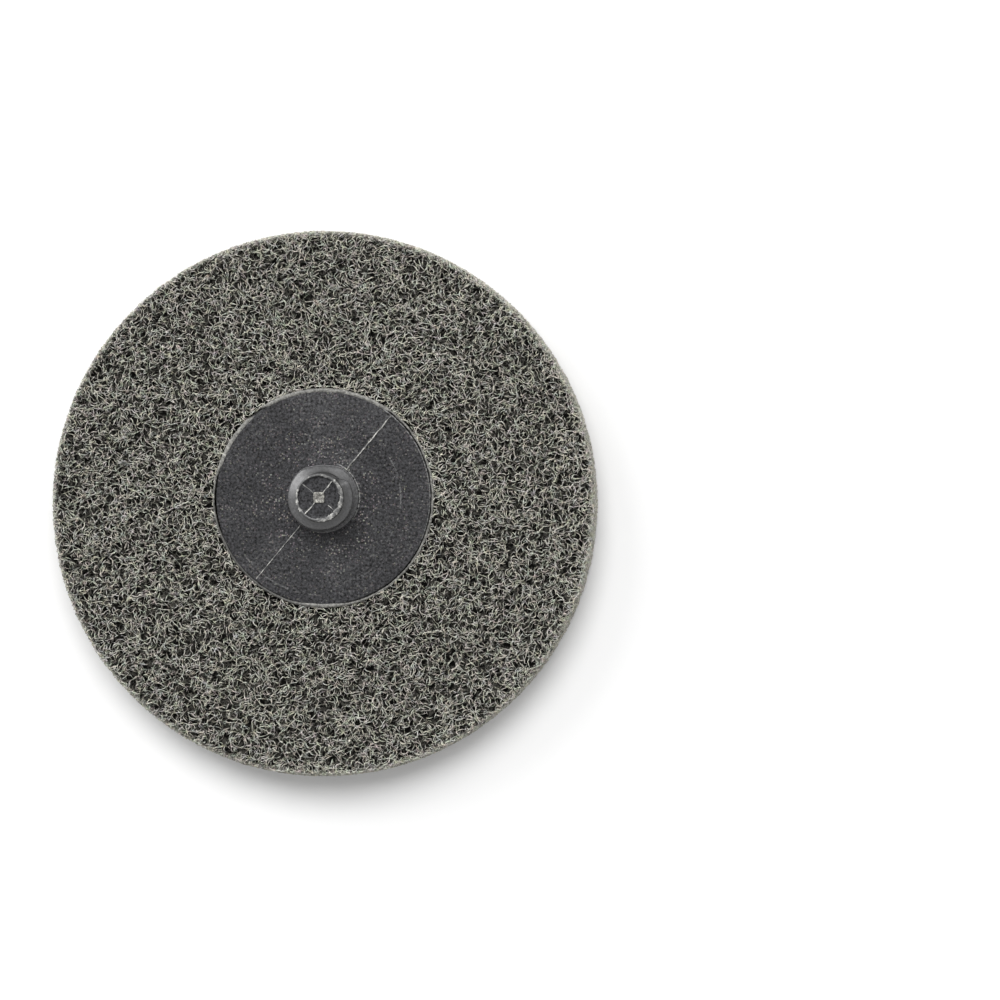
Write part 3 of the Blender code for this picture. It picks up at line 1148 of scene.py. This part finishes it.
@dataclass
class AbrasivePad:
    """The nonwoven pad: layers of strands round the inside of the web, which is painted dark as its shade.
    """

    pad: PadSizes
    hub: HubSizes
    inside_depth: float = 0.85 * MM
    pocket_radius: float = 15.9 * MM
    pocket_floor: float = 3.95 * MM
    floor_gap: float = 0.6 * MM
    lump: float = 0.16 * MM
    lumps_per_metre: float = 700.0
    turn_steps: int = 192
    back_steps: int = 22
    side_steps: int = 5
    floor_steps: int = 12

    def build(self, effects: SharedEffects) -> None:
        """Make the pad's pieces.

        Args:
            effects: the shared node groups.
        """
        strands = StrandFinish(
            "coated_strands",
            dark=(0.005, 0.0049, 0.0043, 1.0),
            mid=(0.215, 0.2095, 0.181, 1.0),
            pale=(0.640, 0.626, 0.552, 1.0),
        ).build(effects)
        # Painted shade: the inside of the web is coloured near black where the deep pores are only shaded.
        shaded_inside = DeepWebShadeFinish(
            "deep_web_shade", pore_shade=(0.005, 0.005, 0.0045, 1.0), strand=(0.09, 0.087, 0.076, 1.0)
        ).build(effects)
        core = show("web_inside", self._inside(), shaded_inside)
        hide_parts("abrasive_pad")
        layers = (
            ("web_back_upper", PadFace.BACK, 3650, 11, 0.0, 0.4),
            ("web_back_middle", PadFace.BACK, 3600, 12, 0.2, 0.65),
            ("web_back_deep", PadFace.BACK, 3100, 13, 0.5, 0.9),
            ("web_side", PadFace.SIDE, 3600, 14, 0.0, 0.4),
            ("web_side_deep", PadFace.SIDE, 1200, 16, 0.4, 0.8),
            ("web_working_face", PadFace.WORKING, 3400, 15, 0.05, 0.5),
        )
        for name, face, count, seed, shallow, deep in layers:
            StrandLayer(name, face, count, seed, shallow * MM, deep * MM, self.pad, self.hub).build(strands)

    def _inside(self) -> Mesh:
        """The inside of the web: a closed dish, lumpy as the strands are, with the hub's pocket.

        Returns:
            The mesh.
        """
        outer = self.pad.radius - self.inside_depth
        top = self.pad.back - self.inside_depth
        bottom = self.floor_gap
        inner, width = self.pocket_radius, outer - self.pocket_radius
        points = [(0.0, self.pocket_floor), (inner, self.pocket_floor)]
        points += [(inner + width * index / self.back_steps, top) for index in range(self.back_steps + 1)]
        side = range(1, self.side_steps + 1)
        points += [(outer, top + (bottom - top) * index / self.side_steps) for index in side]
        inwards = range(1, self.floor_steps)
        points += [(outer * (1.0 - index / self.floor_steps), bottom) for index in inwards]
        points.append((0.0, bottom))
        shape = turned_shape(points, self.turn_steps)
        for corner in shape.verts:
            away = polar(corner.co)[0]
            upper = corner.co.z > bottom + 0.01 * MM
            if upper:
                corner.co += self.hub.middle * (1.0 - smooth_step(self.pocket_radius, outer, away))
            if away > self.pocket_radius + 0.1 * MM:
                lump = noise.noise(corner.co * self.lumps_per_metre) * self.lump
                corner.co.z += lump if upper else -lump
        return mesh_from(shape, "web_inside", 60.0)


@dataclass(frozen=True)
class BeadStation:
    """The bead's inner and outer radius in millimetres and its paleness, at one angle round the flange."""

    degrees: float
    inner: float
    outer: float
    pale: float


@dataclass
class AdhesiveBead:
    """The bead of adhesive that was pushed up round the flange and laps over it, with a torn nick."""

    hub: HubSizes
    stations: tuple[BeadStation, ...] = (
        BeadStation(0.0, 15.06, 15.44, 0.60),
        BeadStation(15.0, 15.09, 15.44, 0.60),
        BeadStation(35.0, 15.11, 15.44, 0.65),
        BeadStation(52.0, 15.06, 15.38, 0.65),
        BeadStation(59.0, 14.66, 15.32, 0.65),
        BeadStation(75.0, 14.60, 15.26, 0.60),
        BeadStation(90.0, 14.56, 15.24, 0.60),
        BeadStation(104.0, 14.60, 15.28, 0.55),
        BeadStation(118.0, 14.64, 15.32, 0.55),
        BeadStation(136.0, 14.64, 15.32, 0.60),
        BeadStation(150.0, 14.66, 15.34, 0.75),
        BeadStation(163.0, 14.80, 15.36, 0.75),
        BeadStation(169.0, 15.16, 15.46, 0.55),
        BeadStation(183.0, 15.25, 15.52, 0.45),
        BeadStation(195.0, 15.18, 15.48, 0.35),
        BeadStation(203.0, 14.96, 15.38, 0.15),
        BeadStation(225.0, 14.94, 15.34, 0.10),
        BeadStation(243.0, 14.94, 15.34, 0.15),
        BeadStation(256.0, 14.94, 15.40, 0.30),
        BeadStation(264.0, 14.68, 15.34, 0.55),
        BeadStation(275.0, 14.70, 15.34, 0.50),
        BeadStation(284.0, 15.02, 15.38, 0.50),
        BeadStation(300.0, 15.08, 15.42, 0.50),
        BeadStation(330.0, 15.08, 15.44, 0.60),
        BeadStation(360.0, 15.06, 15.44, 0.60),
    )
    nick_degrees: float = 127.5
    nick_half: float = 4.8
    nick_slant: float = 3.0
    nick_depth: float = 0.75 * MM
    half_height: float = 0.24 * MM
    rise: float = 0.16 * MM
    turn_steps: int = 480
    section_steps: int = 12

    def build(self, effects: SharedEffects) -> None:
        """Make the bead.

        Args:
            effects: the shared node groups.
        """
        finish = AdhesiveFinish(
            "cured_adhesive", base=(0.03, 0.0293, 0.027, 1.0), pale=(0.44, 0.433, 0.40, 1.0)
        ).build(effects)
        bead = show("glue_bead", self._ring(), finish)
        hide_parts("glue_bond")

    def _ring(self) -> Mesh:
        """Turn a unit section round the flange, then fit it to the stations and roughen it.

        Returns:
            The mesh.
        """
        angles = [station.degrees for station in self.stations]
        rows = tuple(zip(*((station.inner, station.outer, station.pale) for station in self.stations)))
        base = self.hub.flange_radius
        unit = 0.2 * MM
        shape = turned_shape(oval_section(base, unit, unit, self.section_steps), self.turn_steps)
        layer = shape.verts.layers.float.new(BEAD_LAYER)
        for corner in shape.verts:
            away, angle = polar(corner.co)
            degrees = math.degrees(angle) % 360.0
            across = (away - base) / unit
            up = corner.co.z / unit
            inner, outer, paleness = (float(np.interp(degrees, angles, row)) for row in rows)
            ripple = noise.noise(Vector((math.cos(angle) * 11.0, math.sin(angle) * 11.0, 0.0)))
            fine = noise.noise(Vector((math.cos(angle) * 70.0, math.sin(angle) * 70.0, across)))
            low = inner * MM + 0.07 * MM * ripple + 0.05 * MM * fine
            high = outer * MM + 0.08 * MM * fine
            lapped = smooth_step(base + 0.02 * MM, base - 0.25 * MM, low)
            slant = self.nick_degrees + self.nick_slant * across
            nick = smooth_step(self.nick_half * 0.4, self.nick_half, abs(degrees - slant))
            corner[layer] = paleness * nick
            top = self.hub.seat - 0.1 * MM + self.rise * lapped + 0.05 * MM * ripple + 0.04 * MM * fine
            top -= self.nick_depth * (1.0 - nick)
            set_polar(corner.co, (low + high) / 2 + across * (high - low) / 2, angle)
            corner.co.z = top + (up - 1.0) * self.half_height
        return mesh_from(shape, "glue_bead", 70.0, self.hub.middle)


@dataclass
class QuickChangeHub:
    """The nylon moulding: flange, collar, tapered core with its coarse thread, and its mould's marks."""

    hub: HubSizes
    edge_radius: float = 0.3 * MM
    core_tip: float = 3.3 * MM
    core_base: float = 3.5 * MM
    collar_radius: float = 4.95 * MM
    collar_height: float = 0.35 * MM
    thread_radius: float = 4.8 * MM
    pitch: float = 4.2 * MM
    crest_half: float = 0.45 * MM
    flank_run: float = 0.95 * MM
    thread_drop: float = 2.3 * MM
    run_in: float = math.radians(24.0)
    parting_angle: float = math.radians(50.3)
    foot_angle: float = math.radians(92.0)
    foot_draft: float = 0.34 * MM
    rim_break: float = math.radians(243.0)
    dish_radius: float = 2.96 * MM
    dish_depth: float = 0.3 * MM
    tip_round: float = 0.18 * MM
    core_fillet: float = 0.3 * MM
    collar_round: float = 0.15 * MM
    seat_fillet: float = 0.12 * MM
    turned_ring: float = 10.9 * MM
    turned_ring_half: float = 0.14 * MM
    turned_ring_height: float = 0.018 * MM
    rim_line: float = 0.17 * MM
    stub_half: float = 0.74 * MM
    stub_height: float = 0.22 * MM
    stub_hollow: float = 0.1 * MM
    turn_steps: int = 180
    core_rows: int = 96

    def build(self, effects: SharedEffects) -> None:
        """Make the moulding and its pale mould marks.

        Args:
            effects: the shared node groups.
        """
        nylon = NylonFinish(
            "black_nylon",
            seat=self.hub.seat,
            tip=self.hub.tip,
            dish_radius=self.dish_radius,
            rings=(
                # Painted highlight along the collar's rounded edge.
                WearAndHighlightRing(5.07 * MM, 0.12 * MM, 0.3, 0.6, 0.6, broken=False),
                WearAndHighlightRing(7.9 * MM, 0.14 * MM, 1.6, 0.4, 0.12),
                WearAndHighlightRing(10.8 * MM, 0.16 * MM, 0.0, 0.72, 0.24),
                WearAndHighlightRing(12.1 * MM, 0.12 * MM, 5.3, 0.8, 0.12),
                WearAndHighlightRing(13.6 * MM, 0.16 * MM, 4.2, 0.85, 0.17),
                # Painted highlight along the flange's rounded rim.
                WearAndHighlightRing(14.88 * MM, 0.09 * MM, 0.55, 0.45, 0.5, broken=False),
            ),
            base=(0.0255, 0.0255, 0.0272, 1.0),
            stud=(0.044, 0.044, 0.0455, 1.0),
            dusty=(0.115, 0.115, 0.117, 1.0),
            # Pale of the wear marks and of the painted highlights.
            rubbed=(0.26, 0.26, 0.255, 1.0),
            valley_shade=(0.008, 0.008, 0.008, 1.0),
            fleck_share=0.23,
            roughness=0.5,
        ).build(effects, self.hub.middle)
        body = show("hub_moulding", self._body(), nylon)
        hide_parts("hub_button")
        line = WhitenedFinish(
            "parting_line_nylon", pale=(0.66, 0.65, 0.61, 1.0), dark=(0.16, 0.16, 0.155, 1.0), cover=0.54
        ).build(effects)
        torn = WhitenedFinish(
            "torn_tip_nylon",
            pale=(0.54, 0.535, 0.51, 1.0),
            dark=(0.085, 0.085, 0.085, 1.0),
            cover=0.53,
            clouds_per_metre=1450.0,
        ).build(effects)
        stub = WhitenedFinish(
            "twisted_stub_nylon",
            pale=(0.60, 0.59, 0.53, 1.0),
            dark=(0.12, 0.115, 0.105, 1.0),
            cover=0.53,
            clouds_per_metre=4300.0,
            hollow_shade_level=self.hub.tip - self.dish_depth + 0.09 * MM,
        ).build(effects)
        show("hub_parting_line", self._parting_line(), line)
        show("hub_tip_rim", self._tip_rim(), torn)
        show("hub_tip_ribs", self._tip_ribs(), line)
        show("hub_gate_stub", self._gate_stub(), stub)

    def _ridge_height(self, angle: float, level: float) -> float:
        """How far the thread stands out of the core.

        Args:
            angle: the angle round the axis.
            level: the height above the frame's floor.

        Returns:
            A share from 0, the core, to 1, the crest.
        """
        below_start = (self.parting_angle - angle) % math.tau
        best = 0.0
        for turn in range(3):
            run = below_start + math.tau * turn
            ridge = self.hub.tip - self.thread_drop - self.pitch * run / math.tau
            off = abs(level - ridge)
            drawn = smooth_step(-0.1, self.run_in, run)
            reach = (self.crest_half + self.flank_run) * (0.25 + 0.75 * drawn)
            rise = 1.0 - smooth_step(self.crest_half * 0.8 * drawn, reach, off)
            best = max(best, rise * drawn)
        return best

    def _body(self) -> Mesh:
        """Turn the moulding's section and raise the thread out of the core.

        Returns:
            The mesh.
        """
        seat, tip = self.hub.seat, self.hub.tip
        collar_top = seat + self.collar_height
        floor = tip - self.dish_depth
        core_top = tip - 0.22 * MM
        points = [(self.dish_radius * index / 6, floor) for index in range(6)]
        points += [(self.dish_radius - 0.06 * MM, floor), (self.dish_radius, floor + 0.06 * MM)]
        points += [(self.dish_radius + 0.05 * MM, tip - 0.02 * MM), (self.core_tip - 0.2 * MM, tip)]
        shoulder = (self.core_tip - self.tip_round, core_top + 0.02 * MM)
        points += arc_points(shoulder, self.tip_round, math.pi / 2, 0.0, 4)
        foot = collar_top + self.core_fillet
        points += [
            (
                self.core_tip + (self.core_base - self.core_tip) * index / self.core_rows,
                core_top + (foot - core_top) * index / self.core_rows,
            )
            for index in range(self.core_rows + 1)
        ]
        fillet = self.core_fillet
        points += arc_points((self.core_base + fillet, foot), fillet, math.pi, 1.5 * math.pi, 6)[1:]
        edge = self.collar_round
        points += arc_points((self.collar_radius - edge, collar_top - edge), edge, math.pi / 2, 0.15, 4)
        fillet = self.seat_fillet
        points += arc_points((self.collar_radius + fillet, seat + fillet), fillet, math.pi, 1.5 * math.pi, 4)
        rim = self.hub.flange_radius - self.edge_radius
        ring, half = self.turned_ring, self.turned_ring_half
        points += [(7.5 * MM, seat), (ring - half, seat), (ring, seat + self.turned_ring_height)]
        points += [(ring + half, seat), (ring + 1.9 * MM, seat)]
        points += arc_points((rim, seat - self.edge_radius), self.edge_radius, math.pi / 2, 0.0, 6)
        lower = self.hub.flange_bottom + self.edge_radius
        points += arc_points((rim, lower), self.edge_radius, 0.0, -math.pi / 2, 4)
        points += [(rim / 2, self.hub.flange_bottom), (0.0, self.hub.flange_bottom)]
        shape = turned_shape(points, self.turn_steps)
        for corner in shape.verts:
            away, angle = polar(corner.co)
            level = corner.co.z
            drawn_in = 1.0 - smooth_step(0.15, 0.66, abs(math.remainder(angle - self.foot_angle, math.tau)))
            drawn_in *= self.foot_draft
            round_collar = self.core_base + 0.4 * MM < away < self.collar_radius + 0.2 * MM
            if round_collar and level > seat - 0.01 * MM:
                corner.co.x -= drawn_in * math.cos(angle)
                corner.co.y -= drawn_in * math.sin(angle)
            outside_core = self.core_tip - 0.02 * MM < away < self.collar_radius
            if not outside_core or not collar_top - 0.02 * MM < level <= core_top + 0.01 * MM:
                continue
            upper = smooth_step(tip - 4.6 * MM, tip - 3.4 * MM, level)
            crest = self.thread_radius - 0.3 * MM * upper - drawn_in * (1.0 - upper)
            if away < crest:
                set_polar(corner.co, away + (crest - away) * self._ridge_height(angle, level), angle)
        return mesh_from(shape, "hub_moulding", 50.0, self.hub.middle)

    @staticmethod
    def _bar(
        start: float, end: float, level: float, angle: float, width: float, height: float, seed: float
    ) -> Shape:
        """A low ragged ridge along a line through the axis.

        Args:
            start: where it starts, as distance from the axis.
            end: where it ends.
            level: the level that it stands on.
            angle: its direction.
            width: its width at the foot.
            height: its mean height.
            seed: tells its roughness from another ridge's.

        Returns:
            The bmesh.
        """
        shape = bmesh.new()
        bmesh.ops.create_cube(shape, size=1.0)
        cuts = max(4, round((end - start) / (0.22 * MM)))
        long_edges = [edge for edge in shape.edges if abs(edge.verts[0].co.x - edge.verts[1].co.x) > 0.5]
        bmesh.ops.subdivide_edges(shape, edges=long_edges, cuts=cuts, use_grid_fill=True)
        for corner in shape.verts:
            along = start + (end - start) * (corner.co.x + 0.5)
            ragged = noise.noise(Vector((along * 1800.0, seed, 0.0)))
            sway = noise.noise(Vector((along * 900.0, seed, 5.0))) * 0.5
            top = corner.co.z > 0.0
            swell = 1.0 + 0.7 * noise.noise(Vector((along * 1300.0, seed, 9.0)))
            across = (corner.co.y * (0.5 if top else 1.0) * swell + sway) * width
            raised = height * (1.0 + 0.7 * ragged) if top else -0.1 * MM
            corner.co = (
                along * math.cos(angle) - across * math.sin(angle),
                along * math.sin(angle) + across * math.cos(angle),
                level + raised,
            )
        return shape

    def _joined(self, shapes: list[Shape], name: str) -> Mesh:
        """Put several loose shapes in one mesh, in their place on the moulding.

        Args:
            shapes: the bmeshes, which are freed.
            name: the mesh's name.

        Returns:
            The mesh.
        """
        whole = bmesh.new()
        for shape in shapes:
            part = bpy.data.meshes.new(name + "_part")
            shape.to_mesh(part)
            shape.free()
            whole.from_mesh(part)
            bpy.data.meshes.remove(part)
        return mesh_from(whole, name, 50.0, self.hub.middle)

    def _parting_line(self) -> Mesh:
        """The flash that the mould's halves left on the flange, on both sides of the stud.

        Returns:
            The mesh.
        """
        rim = self.hub.flange_radius - self.edge_radius
        inner = self.collar_radius + 0.02 * MM
        seat, along = self.hub.seat, self.parting_angle
        shapes = [
            self._bar(inner, rim + 0.1 * MM, seat, along, 0.23 * MM, 0.13 * MM, 1.0),
            self._bar(-rim, -inner, seat, along, 0.15 * MM, 0.1 * MM, 2.0),
        ]
        return self._joined(shapes, "hub_parting_line")

    def _tip_ribs(self) -> Mesh:
        """The cross of fine ridges in the dished tip.

        Returns:
            The mesh.
        """
        floor = self.hub.tip - self.dish_depth
        reach, stub = self.dish_radius, 0.6 * MM
        along, across = self.parting_angle, self.parting_angle + math.pi / 2
        shapes = [
            self._bar(stub, reach, floor, along, 0.22 * MM, 0.15 * MM, 7.0),
            self._bar(-reach, -stub, floor, along, 0.24 * MM, 0.15 * MM, 6.0),
            self._bar(stub, reach, floor, across, 0.17 * MM, 0.06 * MM, 8.0),
            self._bar(-reach, -reach * 0.55, floor, across, 0.16 * MM, 0.05 * MM, 9.0),
        ]
        return self._joined(shapes, "hub_tip_ribs")

    def _tip_rim(self) -> Mesh:
        """The torn, whitened rim round the stud's tip.

        Returns:
            The mesh.
        """
        middle = self.core_tip - self.rim_line
        shape = turned_shape(oval_section(middle, self.rim_line, 0.09 * MM, 8), 2 * self.turn_steps)
        for corner in shape.verts:
            away, angle = polar(corner.co)
            around = Vector((math.cos(angle) * 7.0, math.sin(angle) * 7.0, 0.0))
            ragged = 0.7 * noise.noise(around * 3.0) + 0.9 * noise.noise(around * 8.0)
            wide = noise.noise(around * 0.8 + Vector((0.0, 0.0, 4.0)))
            across = away - middle
            heavy = 0.5 + 0.5 * math.cos(angle + 0.7)
            whole = smooth_step(0.16, 0.5, abs(math.remainder(angle - self.rim_break, math.tau)))
            across *= 0.25 + 0.75 * whole
            radius = self.core_tip - 0.19 * MM + across * (0.6 + 1.1 * heavy + 0.9 * ragged + 0.4 * wide)
            radius += 0.03 * MM * heavy - 0.06 * MM * wide
            set_polar(corner.co, radius, angle)
            corner.co.z = min(self.hub.tip - 0.07 * MM + corner.co.z * (1.0 + 0.5 * ragged), self.hub.tip)
            corner.co.z -= 0.14 * MM * (1.0 - whole)
        return mesh_from(shape, "hub_tip_rim", 60.0, self.hub.middle)

    def _gate_stub(self) -> Mesh:
        """The square stub where the gate was twisted off, with its torn hollow.

        Returns:
            The mesh.
        """
        half, hollow, rim = self.stub_half, self.stub_hollow, self.stub_height
        points = [(0.0, hollow), (0.12 * MM, hollow), (0.24 * MM, hollow), (0.34 * MM, hollow + 0.03 * MM)]
        points += [(0.43 * MM, rim - 0.01 * MM), (0.53 * MM, rim), (0.62 * MM, rim)]
        points += arc_points((half - 0.07 * MM, rim - 0.07 * MM), 0.07 * MM, math.pi / 2, 0.0, 2)
        points += [(half, 0.05 * MM), (half, -0.1 * MM), (0.0, -0.1 * MM)]
        shape = turned_shape(points, 56)
        for corner in shape.verts:
            away, angle = polar(corner.co)
            outside = smooth_step(0.2 * MM, half, away)
            square = (abs(math.cos(angle)) ** 7 + abs(math.sin(angle)) ** 7) ** (-1 / 7)
            corner.co.x *= 1.0 + (square - 1.0) * outside
            corner.co.y *= 1.0 + (square - 1.0) * outside
            push = noise.noise_vector(corner.co * 4300.0 + Vector((3.7, 8.2, 1.4))) * 0.08 * MM
            corner.co += Vector((push.x + 0.08 * MM * (1.0 - outside), push.y, push.z * 0.8))
        middle = self.hub.middle + Vector((0.0, 0.0, self.hub.tip - self.dish_depth))
        return mesh_from(shape, "hub_gate_stub", 60.0, middle)


@dataclass
class Studio:
    """The pale floor, the soft light and the camera at the photograph's angle."""

    pad: PadSizes
    photo_side: float = 1000.0
    face_middle: Point = (322.7, 503.6)
    pad_width: float = 546.3
    distance: float = 1.5
    tilt: float = math.radians(4.7)
    sensor: float = 36.0

    def build(self) -> None:
        """Set the stage, the lights, the camera and the colour management."""
        self._camera()
        self._floor()
        self._lights()
        bpy.context.scene.view_settings.view_transform = "Standard"

    def _camera(self) -> None:
        """A long lens beside the disc's axis, so that the disc lies at the left of the view."""
        pixel = 2 * self.pad.radius / self.pad_width
        back = Vector((math.sin(self.tilt), 0.0, math.cos(self.tilt)))
        right = Vector((math.cos(self.tilt), 0.0, -math.sin(self.tilt)))
        up = Vector((0.0, 1.0, 0.0))
        half = self.photo_side / 2
        aside = (half - self.face_middle[0]) * pixel
        above = (self.face_middle[1] - half) * pixel
        data = bpy.data.cameras.new("camera")
        data.sensor_width = self.sensor
        data.lens = self.sensor * self.distance / (self.photo_side * pixel)
        data.clip_start = 0.01
        data.clip_end = 20.0
        camera = add_object("camera", data)
        face = Vector((0.0, 0.0, self.pad.back))
        camera.location = face + back * self.distance + right * aside + up * above
        camera.rotation_euler = Matrix((right, up, back)).transposed().to_euler()
        bpy.context.scene.camera = camera

    def _floor(self) -> None:
        """A pale floor that keeps the disc's shadow and shows white where nothing shades it."""
        shape = bmesh.new()
        bmesh.ops.create_grid(shape, x_segments=2, y_segments=2, size=3.0)
        mesh = mesh_from(shape, "floor", 40.0)
        floor = add_object("floor", mesh)
        material = bpy.data.materials.new("pale_floor")
        material.use_nodes = True
        desk = NodeDesk(material.node_tree)
        material.node_tree.nodes.clear()
        tone = desk.patches(object_position(desk), 3.0, 0.89, 0.91)
        paint = desk.add("ShaderNodeBsdfDiffuse", {"Color": tone}).outputs[0]
        dark = desk.add("ShaderNodeEmission", {"Strength": 0.0}).outputs[0]
        glow = desk.add("ShaderNodeEmission", {"Color": (1.0, 1.0, 1.0, 1.0), "Strength": 0.12}).outputs[0]
        shown = desk.add("ShaderNodeMixShader", {0: self._looked_at(desk), 1: dark, 2: glow}).outputs[0]
        both = desk.add("ShaderNodeAddShader", {0: paint, 1: shown}).outputs[0]
        desk.add("ShaderNodeOutputMaterial", {"Surface": both})
        mesh.materials.append(material)

    @staticmethod
    def _looked_at(desk: NodeDesk) -> Socket:
        """Tell rays that look at the background, also in a reflection, from rays that light the disc.

        Args:
            desk: the desk of the floor or the world.

        Returns:
            1 for the rays that look, otherwise 0.
        """
        path = desk.add("ShaderNodeLightPath").outputs
        mirrored = desk.plus(path["Is Glossy Ray"], path["Is Transmission Ray"], clamp=True)
        return desk.plus(path["Is Camera Ray"], mirrored, clamp=True)

    def _lights(self) -> None:
        """Broad soft lamps above and at the top and the left of the view, and an even pale world."""
        for name, place, spread, power in (
            ("key_lamp", Vector((-0.05, 0.5, 0.86)), 40.0, 1.95),
            ("side_lamp", Vector((-0.71, 0.66, 0.36)), 40.0, 1.75),
            ("far_lamp", Vector((0.62, 0.66, 0.42)), 40.0, 0.5),
        ):
            lamp = bpy.data.lights.new(name, "SUN")
            lamp.angle = math.radians(spread)
            lamp.energy = power
            item = add_object(name, lamp)
            item.location = place
            item.rotation_euler = place.to_track_quat("Z", "Y").to_euler()
        world = bpy.data.worlds.new("studio")
        bpy.context.scene.world = world
        world.use_nodes = True
        desk = NodeDesk(world.node_tree)
        strength = desk.spread(self._looked_at(desk), 0.0, 1.0, 0.32, 1.0)
        background = world.node_tree.nodes["Background"]
        desk.feed(background, {"Color": (1.0, 1.0, 1.0, 1.0), "Strength": strength})


def main() -> None:
    """Build the disc's sub-assemblies in order, then the studio."""
    logging.basicConfig(level=logging.INFO, format="%(name)s: %(message)s")
    effects = SharedEffects()
    pad = PadSizes()
    hub = HubSizes()
    AbrasivePad(pad, hub).build(effects)
    AdhesiveBead(hub).build(effects)
    QuickChangeHub(hub).build(effects)
    Studio(pad).build()


if __name__ == "__main__":
    main()
